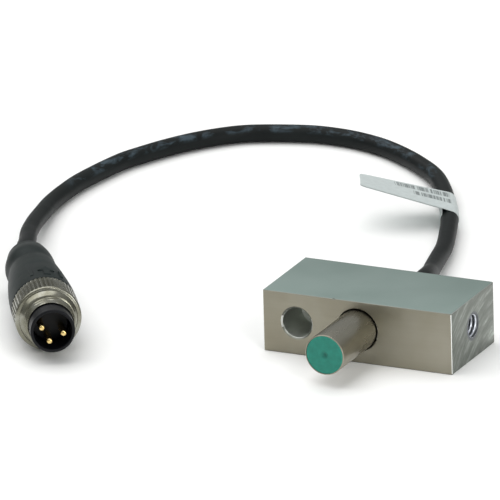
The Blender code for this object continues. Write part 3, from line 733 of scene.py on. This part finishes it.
def plastic_paint(name, colour, roughness, scale=900.0, spread=0.18, **sockets):
    """Small moulded or coated part with faint mottling and grain."""
    paint = Paint(name, colour, roughness, **sockets)
    cloud = paint.noise(paint.scaled(), scale, 4.0, 0.6)
    paint.colour(paint.ramp(cloud, (0.3, shade(colour, 1.0 - spread)), (0.7, shade(colour, 1.0 + spread))))
    paint.rough(paint.ramp(cloud, (0.3, max(roughness - 0.06, 0.05)), (0.7, roughness + 0.06)))
    paint.bump(paint.noise(paint.scaled(), scale * 5.0), 0.003 * MM, 0.5)
    return paint.material


def board_paint():
    """Green laminate with lighter copper tracks under its lacquer."""
    paint = Paint("board_green", (0.03, 0.20, 0.08), 0.35)
    tracks = paint.node("ShaderNodeTexBrick", Scale=1300.0, Mortar_Size=0.03, Mortar=(0.10, 0.34, 0.14, 1),
                        Color1=(0.022, 0.15, 0.06, 1), Color2=(0.030, 0.19, 0.075, 1))
    paint.link(paint.scaled(), tracks.inputs["Vector"])
    paint.colour(tracks.outputs["Color"])
    paint.bump(tracks.outputs["Fac"], 0.01 * MM, 0.5)
    return paint.material


def coil_paint():
    """Fine enamelled copper turns."""
    paint = Paint("coil_copper_turns", (0.60, 0.24, 0.09), 0.3, 0.9)
    wave = paint.node("ShaderNodeTexWave", wave_type="BANDS", bands_direction="Y", Scale=3200.0)
    paint.link(paint.scaled(), wave.inputs["Vector"])
    paint.colour(paint.ramp(wave.outputs["Fac"], (0.2, (0.30, 0.10, 0.03)), (0.8, (0.70, 0.30, 0.12))))
    paint.bump(wave.outputs["Fac"], 0.03 * MM, 0.7)
    return paint.material


# ---- clamp block and its screw

def place_in_block(along, across):
    """A frame in the middle of the block, at the height of its bore and tapped hole."""
    return placed((0, 0, HOLE_HEIGHT * MM), along, across)


def make_block(paint):
    """The block with soft edges, its sensor bore, counterbored mounting hole and tapped hole."""
    low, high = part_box("mounting_block")
    size, centre = high - low, (low + high) / 2
    shape = bmesh.new()
    bmesh.ops.create_cube(shape, size=1.0, matrix=Matrix.Translation(centre) @ Matrix.Diagonal((*size, 1)))
    bmesh.ops.bevel(shape, geom=shape.edges, offset=BLOCK_EDGE * MM, segments=3, profile=0.6,
                    affect="EDGES")
    block = finish_mesh("clamp_block", shape, paint)

    half, past = size.y / MM / 2, 1.0
    flare = BORE_CHAMFER
    bore = turned("cut_bore",
                  [(0, half + past), (BORE_RADIUS + flare + past, half + past), (BORE_RADIUS, half - flare),
                   (BORE_RADIUS, flare - half), (BORE_RADIUS + flare + past, -half - past),
                   (0, -half - past)],
                  128, paint, place_in_block((0, -1, 0), (1, 0, 0)))

    flare = COUNTERBORE_CHAMFER
    floor = half - COUNTERBORE_DEPTH
    mount_place = placed(Vector(MOUNT_HOLE) * MM, (0, -1, 0), (1, 0, 0))
    mount = turned("cut_mounting_hole",
                   [(0, half + past), (COUNTERBORE_RADIUS + flare + past, half + past),
                    (COUNTERBORE_RADIUS, half - flare)]
                   + arc(COUNTERBORE_RADIUS - 0.2, floor + 0.2, 0.2, 0, -90, 3)
                   + [(MOUNT_THROUGH_RADIUS, floor), (MOUNT_THROUGH_RADIUS, 0.1 - half),
                      (MOUNT_THROUGH_RADIUS + past + 0.1, -half - past), (0, -half - past)],
                   96, paint, mount_place)

    end = size.x / MM / 2
    screw_place = place_in_block((1, 0, 0), (0, 0, -1))
    rise = HOLE_CREST + TAP_CHAMFER + past

    def tapped(radius, height, angle):
        if radius != HOLE_ROOT:
            return radius
        mouth = HOLE_CREST + max(0.0, TAP_CHAMFER - (end - height))
        return max(HOLE_ROOT - thread_depth(height, angle, SCREW_PITCH, HOLE_ROOT - HOLE_CREST), mouth)

    tap = turned("cut_tapped_hole",
                 [(0, end + past), (rise, end + past)]
                 + [(HOLE_ROOT, height) for height in heights(end, BORE_RADIUS - 1.0, 0.07)]
                 + [(0, BORE_RADIUS - 1.0)],
                 60, paint, screw_place, tapped)
    nick = bmesh.new()
    bmesh.ops.create_icosphere(nick, subdivisions=2, radius=0.28 * MM,
                               matrix=Matrix.Translation(Vector((-3.97, -8.05, 10.05)) * MM))
    return combined(block, (bore, mount, tap, finish_mesh("cut_nick", nick, paint)))


def make_screw(paint):
    """The grub screw: an M4 thread, a chamfered end and a hexagon socket."""
    low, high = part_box("set_screw")
    start, end = low.x / MM, high.x / MM
    place = place_in_block((1, 0, 0), (0, 0, -1))

    def threaded(radius, height, angle):
        if radius != SCREW_CREST:
            return radius
        chamfer = SCREW_ROOT - 0.1 + min(end - height, height - start)
        return min(SCREW_CREST - thread_depth(height, angle, SCREW_PITCH, SCREW_CREST - SCREW_ROOT), chamfer)

    screw = turned("grub_screw",
                   [(0, end), (SCREW_ROOT - 0.12, end)]
                   + [(SCREW_CREST, height) for height in heights(end, start, 0.07)]
                   + [(SCREW_ROOT - 0.12, start), (0, start)],
                   60, paint, place, threaded)
    corner = SOCKET_FLATS / 2 / math.cos(math.pi / 6)
    socket = turned("cut_socket",
                    [(0, end + 1), (corner + 0.12 + 1, end + 1), (corner, end - 0.12), (corner, end - 2.3),
                     (0, end - 2.9)],
                    6, paint, place)
    return combined(screw, (socket,))


# ---- sensor

def make_sensor(paints):
    """The turned pieces on the sensor's axis, by name.  Local heights start at the block's face."""
    low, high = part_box("sensor_barrel")
    block_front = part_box("mounting_block")[0].y
    place = placed(((low.x + high.x) / 2, block_front, (low.z + high.z) / 2), (0, -1, 0), (1, 0, 0))
    outer = (high.x - low.x) / MM / 2
    front = (block_front - low.y) / MM
    rear = (block_front - high.y) / MM
    seat = front - 0.75
    pieces = {}
    pieces["barrel_tube"] = turned(
        "barrel_tube",
        arc(outer - 0.12, front - 0.12, 0.12, 90, 0, 5) + arc(outer - 0.1, rear + 0.1, 0.1, 0, -90, 3)
        + [(outer - 0.35, rear), (outer - 0.35, seat), (RIM_INNER, seat), (RIM_INNER, front)],
        128, paints["steel"], place)

    cap = RIM_INNER - 0.02
    face = front - 0.03
    pieces["sensing_face"] = turned(
        "sensing_face",
        [(0, face - 0.13)] + arc(0.22, face - 0.03, 0.10, -90, -20, 3)
        + [(0.42, face - 0.015), (0.62, face), (cap - 0.5, face + 0.01)]
        + arc(cap - 0.16, face - 0.15, 0.16, 90, 0, 5)
        + [(cap, front - 0.65), (outer - 0.4, front - 0.65), (outer - 0.4, front - 5.0),
           (outer - 0.8, front - 5.0), (outer - 0.8, front - 0.55), (0, front - 0.55)],
        96, paints["face"], place)

    flange = outer - 0.05
    flange_rear = rear - 1.25
    pieces["clear_end_cap"] = turned(
        "clear_end_cap",
        [(2.3, rear + 3.0), (outer - 0.4, rear + 3.0), (outer - 0.4, rear - 0.05),
         (flange - 0.06, rear - 0.05), (flange, rear - 0.11)]
        + arc(flange - 0.45, flange_rear + 0.45, 0.45, 0, -90, 6)
        + [(1.98, flange_rear), (1.9, flange_rear + 0.08), (1.9, rear - 0.5), (2.3, rear - 0.5)],
        96, paints["clear"], place)

    bore = CABLE_RADIUS / MM + 0.05
    outline = [(2.2, rear + 0.55), (2.2, rear - 0.45), (1.84, rear - 0.45)]
    for rib in range(GROMMET_RIBS):
        top = flange_rear - 0.2 - rib * 0.62
        crest = 1.84 - 0.03 * rib
        outline += arc(crest - 0.08, top - 0.08, 0.08, 90, 0, 2)
        outline += arc(crest - 0.08, top - 0.32, 0.08, 0, -90, 2)
        outline += [(crest - 0.17, top - 0.42), (crest - 0.17, top - 0.60)]
    end = flange_rear - 2.55
    outline += [(1.62, end + 0.1), (1.54, end), (bore, end)]
    pieces["cable_boot"] = turned("cable_boot", outline + [(bore, rear + 0.55)], 72, paints["boot"], place)
    return pieces


# ---- cable and label

def cable_route():
    """The whole centreline: straight out of the sensor, round, and straight into the plug."""
    low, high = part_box("sensor_barrel")
    start = [Vector(((low.x + high.x) / 2, y * MM, (low.z + high.z) / 2)) for y in CABLE_IN_BOOT_MM]
    middle = [Vector(point) * MM for point in CABLE_ROUTE_MM]
    plug = plug_place()
    end = [plug @ Vector((0, 0, distance * MM)) for distance in CABLE_IN_GRIP_MM]
    return start + middle + end


def make_label(paint):
    """The tape wrapped round the cable with its ends stuck together as a flag, corners rounded."""
    path = smooth_path(cable_route(), 1500)
    middle = min(range(len(path)), key=lambda index: (path[index] - LABEL_CENTRE).length)
    spacing = (path[1] - path[0]).length
    stations = 31
    shape = bmesh.new()
    uv = shape.loops.layers.uv.new("Tape")
    outward = Vector((0, 0, 1)).cross(path[middle + 1] - path[middle - 1]).normalized()
    grid = []
    for station in range(stations):
        share = station / (stations - 1)
        index = round(middle + (share - 0.5) * LABEL_WIDTH / spacing)
        along = (path[index + 1] - path[index - 1]).normalized()
        inward = Vector((0, 0, 1)).cross(along).normalized()
        up = along.cross(inward)
        slope = FLAG_RISE - FLAG_TWIST * (share - 0.5)
        from_side = min(share, 1.0 - share) * LABEL_WIDTH
        inset = 0.0
        if from_side < FLAG_CORNER:
            inset = FLAG_CORNER - math.sqrt(FLAG_CORNER ** 2 - (FLAG_CORNER - from_side) ** 2)
        row = []
        reach = FLAG_LENGTH + FLAG_SKEW * (1.0 - 2.0 * share) - inset
        for across, height, run in label_section(slope, reach):
            wrap = min(across * MM, LABEL_RADIUS)
            point = path[index] + inward * wrap + outward * (across * MM - wrap) + up * height * MM
            row.append((shape.verts.new(point), (share * LABEL_WIDTH / MM, run)))
        grid.append(row)
    for near, far in zip(grid, grid[1:]):
        for index in range(len(near) - 1):
            corners = (near[index], near[index + 1], far[index + 1], far[index])
            face = shape.faces.new([vert for vert, _ in corners])
            for loop, (_, place) in zip(face.loops, corners):
                loop[uv].uv = place
    mesh = bpy.data.meshes.new("marker_flag")
    shape.to_mesh(mesh)
    shape.free()
    mesh.materials.append(paint)
    mesh.shade_smooth()
    label = bpy.data.objects.new("marker_flag", mesh)
    bpy.context.scene.collection.objects.link(label)
    tape = label.modifiers.new("Tape", "SOLIDIFY")
    tape.thickness = LABEL_THICKNESS
    tape.offset = -1.0
    bpy.context.view_layer.update()
    label = baked(label)
    label.data.set_sharp_from_angle(angle=math.radians(40.0))
    return label


def label_section(slope, reach):
    """(across, height, run) across the cable in mm: in along the flag's underside, round the
    cable and out along the upper side.  Run is the distance out along the upper side, and
    negative on the rest."""
    radius = LABEL_RADIUS / MM
    reach = reach / MM
    underside = radius - 0.05
    points = [(reach * share, underside, -reach * share) for share in (1.0, 0.8, 0.6, 0.4, 0.25)]
    points += [(1.3 * radius, underside, -1.0), (1.12 * radius, 0.84 * radius, -0.9),
               (1.03 * radius, 0.58 * radius, -0.8)]
    first_angle, last_angle, count = 15, -270, 30
    for index in range(count + 1):
        angle = math.radians(first_angle + (last_angle - first_angle) * index / count)
        x, y = radius * math.cos(angle), radius * math.sin(angle)
        points.append((x, y, x if angle < -math.pi else -0.7))
    points += [(reach * share, radius, reach * share) for share in (0.12, 0.25, 0.4, 0.6, 0.8, 1.0)]
    cos, sin = math.cos(slope), math.sin(slope)
    return [(x * cos - y * sin, x * sin + y * cos, run) for x, y, run in points]


# ---- plug

def plug_place():
    """The frame at the plug's front: local Z runs rearwards, X level, Y up."""
    joint = next(joint for joint in frame["joints"] if joint["name"] == "nut_spin")
    forward = Vector(joint["axis"]).normalized()
    return placed(joint["pos_m"], -forward, (forward.y, -forward.x, 0))


def make_nut(paint, place):
    """The coupling nut: a fine straight knurl, a stepped shoulder and a metric thread."""
    def shaped(radius, height, angle):
        if radius == NUT_THREAD:
            chamfer = NUT_THREAD - 0.28 + (height - NUT_FRONT)
            depth = thread_depth(height, angle, NUT_PITCH, 0.42)
            runout = min(max((NUT_THREAD_END + 0.35 - height) / 0.5, 0.0), 1.0)
            return min(NUT_THREAD - depth * runout, chamfer)
        if radius == NUT_KNURL:
            phase = abs(2.0 * ((angle * KNURL_TEETH / math.tau) % 1.0) - 1.0)
            groove = KNURL_DEPTH * min(max((0.62 - phase) / 0.5, 0.0), 1.0)
            fade = min(1.0, (height - KNURL_START) / 0.35 + 0.35, (KNURL_END - height) / 0.35 + 0.15)
            return NUT_KNURL - groove * max(fade, 0.0)
        return radius

    outline = [(NUT_BORE, NUT_FRONT + 0.12), (NUT_BORE + 0.1, NUT_FRONT)]
    outline += [(NUT_THREAD, height) for height in heights(NUT_FRONT, NUT_THREAD_END, 0.1)]
    outline += [(NUT_ROOT, NUT_THREAD_END + 0.02), (NUT_THREAD, NUT_THREAD_END + 0.06)]
    outline += [(NUT_THREAD + 0.60 * share ** 0.85, NUT_THREAD_END + 0.08 + 0.82 * share)
                for share in (0.1, 0.3, 0.5, 0.7, 0.9, 1.0)]
    outline += [(4.66, KNURL_START - 0.24), (4.74, KNURL_START - 0.20)]
    outline += arc(NUT_KNURL - 0.34, KNURL_START + 0.14, 0.34, -90, -18, 5)
    outline += [(NUT_KNURL, height) for height in heights(KNURL_START + 0.26, KNURL_END - 0.12, 0.5)]
    outline += [(NUT_KNURL - 0.16, KNURL_END), (NUT_SEAT_RADIUS, KNURL_END), (NUT_SEAT_RADIUS, NUT_SEAT),
                (NUT_BORE, NUT_SEAT)]
    return turned("knurled_nut", outline[::-1], KNURL_TEETH * 6, paint, place, shaped, 28.0)


def make_insert(paint, place):
    """The insulating insert with its shroud, key rib and raised contact boss."""
    cavity, shroud = SHROUD_CAVITY, SHROUD_RADIUS
    outline = arc(cavity + 0.14, 0.14, 0.14, 180, 270, 4) + arc(shroud - 0.22, 0.22, 0.22, 270, 360, 5)
    outline += [(shroud, INSERT_FLANGE_START), (INSERT_FLANGE, INSERT_FLANGE_START),
                (INSERT_FLANGE, INSERT_FLANGE_END), (INSERT_BODY, INSERT_FLANGE_END),
                (INSERT_BODY, INSERT_END), (0, INSERT_END),
                (0, SHROUD_DEPTH - 0.25), (2.62, SHROUD_DEPTH - 0.25)]
    outline += arc(2.78, SHROUD_DEPTH - 0.09, 0.16, -90, 0, 3)
    outline += [(cavity, SHROUD_DEPTH + 0.1)]
    insert = turned("contact_insert", outline, 96, paint, place)
    rib = bmesh.new()
    centre = Vector((0, cavity + 0.02, SHROUD_DEPTH / 2 + 0.35)) * MM
    size = Vector((0.8, 0.62, SHROUD_DEPTH - 0.7)) * MM
    bmesh.ops.create_cube(rib, size=1.0, matrix=Matrix.Translation(centre) @ Matrix.Diagonal((*size, 1)))
    bmesh.ops.bevel(rib, geom=rib.edges, offset=0.12 * MM, segments=3, affect="EDGES")
    rib = finish_mesh("join_rib", rib, paint)
    rib.matrix_world = place
    return combined(insert, (rib,), 35.0, "UNION")


def make_pin(name, node, paint, place):
    """A round contact with a domed, slightly flattened tip, where the CAD node has it."""
    inverse = place.inverted()
    points = [inverse @ vertex.co for vertex in frame["nodes"][node].data.vertices]
    middle = sum((Vector((point.x, point.y, 0)) for point in points), Vector()) / len(points)
    tip = min(point.z for point in points) / MM
    rear = max(point.z for point in points) / MM
    outline = [(0, tip), (0.14, tip + 0.01)] + arc(PIN_RADIUS - 0.33, tip + 0.36, 0.33, -70, 0, 6)
    outline += [(PIN_RADIUS, rear), (0, rear)]
    return turned(name, outline, 40, paint, place @ Matrix.Translation(middle))


def grip_radius(radius, height, angle):
    """The grip isn't quite round: its sides taper differently, and one swells behind the waist."""
    if height < GRIP_OUTLINE[0][1] + 1e-6 or radius < GRIP_INSIDE:
        return radius
    return radius + GRIP_SIDE_SHIFT * math.cos(angle) * bell(height, 20.0, 6.0) \
        + GRIP_LOBE * (bell(height, 31.5, 1.9) - bell(height, 28.6, 1.4)) * (0.55 + 0.45 * math.cos(angle))


def bell(value, centre, width):
    """A smooth hump of height 1 round a centre."""
    return math.exp(-((value - centre) / width) ** 2)


def make_grip(paint, place):
    """The moulded grip with a soft front shoulder and raised finger marks behind the nut."""
    rows = []
    for (r0, h0), (r1, h1) in zip(GRIP_OUTLINE, GRIP_OUTLINE[1:]):
        for height in heights(h0, h1, 0.6)[:-1]:
            share = (height - h0) / (h1 - h0)
            rows.append((r0 + (r1 - r0) * share, height))
    rows.append(GRIP_OUTLINE[-1])
    smoothed = []
    for index, (radius, height) in enumerate(rows):
        near = rows[max(index - 2, 0):index + 3]
        smoothed.append((sum(point[0] for point in near) / len(near), height))
    nose = [(INSERT_FLANGE, GRIP_NOSE), (INSERT_FLANGE, 11.6)]
    shoulder = arc(4.98, 11.78, 0.18, -90, -15, 4)
    bore = CABLE_RADIUS / MM + 0.05
    tail = arc(GRIP_OUTLINE[-1][0] - 0.9, GRIP_OUTLINE[-1][1] - 0.02, 0.9, 20, 90, 6)
    tail += [(bore + 0.25, 36.45), (bore, 36.3)]
    inside = [(bore, GRIP_CABLE_SEAT), (GRIP_CAVITY, GRIP_CABLE_SEAT - 0.8),
              (GRIP_CAVITY, INSERT_END + 0.4), (GRIP_SOCKET, INSERT_END + 0.4), (GRIP_SOCKET, GRIP_NOSE)]
    outline = nose + shoulder + smoothed + tail + inside
    grip = turned("moulded_grip", outline[::-1], 96, paint, place, grip_radius)
    marks = bmesh.new()
    marks.from_mesh(grip.data)
    for outline in GRIP_MARKS:
        add_raised_mark(marks, outline)
    marks.to_mesh(grip.data)
    marks.free()
    return grip


def add_raised_mark(shape, outline):
    """A raised plate bent to the grip's surface.  Its outline is in mm round and along it."""
    layers = []
    for lift, shrink in ((-0.25, 1.0), (0.12, 1.0), (0.20, 0.82)):
        centre = Vector((sum(x for x, _ in outline), sum(y for _, y in outline))) / len(outline)
        layer = []
        for x, y in outline:
            point = centre + (Vector((x, y)) - centre) * shrink
            angle = math.radians(GRIP_MARK_ANGLE) + point.x / 5.0
            radius = lift + grip_radius(GRIP_MARK_RADIUS, point.y, angle)
            layer.append(shape.verts.new((radius * math.cos(angle) * MM, radius * math.sin(angle) * MM,
                                          point.y * MM)))
        layers.append(layer)
    count = len(outline)
    for below, above in zip(layers, layers[1:]):
        for index in range(count):
            other = (index + 1) % count
            shape.faces.new((below[index], below[other], above[other], above[index])).smooth = False
    shape.faces.new(layers[-1]).smooth = False
    shape.faces.new(layers[0][::-1]).smooth = False


# ---- assembly

def own(piece, body, slot, *nodes):
    """A finished piece: it rides on its body and stands for its CAD nodes."""
    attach(piece, body)
    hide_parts(*nodes)
    return piece


def main():
    make_camera()

    jacket = cable_paint()
    route = smooth_path(cable_route(), 360)
    cable = own(tube("sensor_lead", route, CABLE_RADIUS, 40, jacket), "sensor", "cable_jacket",
                "sensor_cable")

    make_world()
    make_stage()

    block_metal = metal_block_paint()
    own(make_block(block_metal), "block", "block_metal", "mounting_block")
    own(make_screw(black_steel_paint()), "screw", "screw_steel", "set_screw")

    paints = {
        "steel": barrel_paint(),
        "face": face_paint(),
        "clear": plastic_paint("end_cap_amber_clear", (0.62, 0.50, 0.20), 0.2, 500.0, 0.1,
                               Transmission_Weight=0.75, IOR=1.5),
        "boot": rubber_paint("boot_rubber", (0.020, 0.021, 0.022), 0.55),
    }
    sensor = make_sensor(paints)
    own(sensor["barrel_tube"], "sensor", "barrel_steel", "sensor_barrel")
    own(sensor["sensing_face"], "sensor", "face_plastic", "sensing_face_cap")
    own(sensor["clear_end_cap"], "sensor", "end_cap_clear", "end_cap")
    own(sensor["cable_boot"], "sensor", "grommet_rubber", "cable_grommet")

    label = own(make_label(label_paint()), "sensor", "label_tape", "marker_label")

    place = plug_place()
    own(make_nut(nickel_paint(), place), "nut", "nut_nickel", "coupling_nut")
    insert = own(make_insert(rubber_paint("insert_black", (0.0025, 0.003, 0.0045), 0.34, 5000.0, 0.25),
                             place), "sensor", "carrier_plastic", "contact_carrier")
    grip = own(make_grip(rubber_paint("grip_dark_rubber", (0.0075, 0.0125, 0.0120), 0.50), place),
               "sensor", "grip_rubber", "connector_grip")
    gold = gold_paint()
    pins = [own(make_pin(f"gold_contact_{number}", f"contact_pin_{number}", gold, place),
                "sensor", "pin_gold", f"contact_pin_{number}") for number in (1, 3, 4)]

    inner = {
        "ferrite_core": plastic_paint("ferrite_grey", (0.05, 0.05, 0.055), 0.6, 1800.0),
        "coil_former": plastic_paint("former_cream", (0.70, 0.66, 0.55), 0.5),
        "sense_coil": coil_paint(),
        "circuit_board": board_paint(),
        "oscillator_chip": plastic_paint("chip_black", (0.02, 0.02, 0.022), 0.5, 2500.0, 0.4),
        "filter_capacitor": plastic_paint("capacitor_tan", (0.42, 0.30, 0.18), 0.45, 2000.0),
        "surge_diode": plastic_paint("diode_orange", (0.50, 0.14, 0.05), 0.15, 1500.0, 0.25),
        "status_led": plastic_paint("led_amber", (0.80, 0.55, 0.12), 0.2, 1200.0, 0.1,
                                    Transmission_Weight=0.5),
        "pressure_pad": plastic_paint("pad_nylon_natural", (0.66, 0.62, 0.52), 0.45, 1500.0, 0.1),
    }
    inner["output_transistor"] = inner["oscillator_chip"]
    for colour, tint in WIRE_COLOURS.items():
        paint = plastic_paint(f"wire_{colour}_pvc", tint, 0.4, 1500.0, 0.15)
        inner[f"sensor_wire_{colour}"] = paint
        inner[f"plug_wire_{colour}"] = paint
    for node, paint in inner.items():
        mesh = frame["nodes"][node].data
        mesh.materials.clear()
        mesh.materials.append(paint)


main()
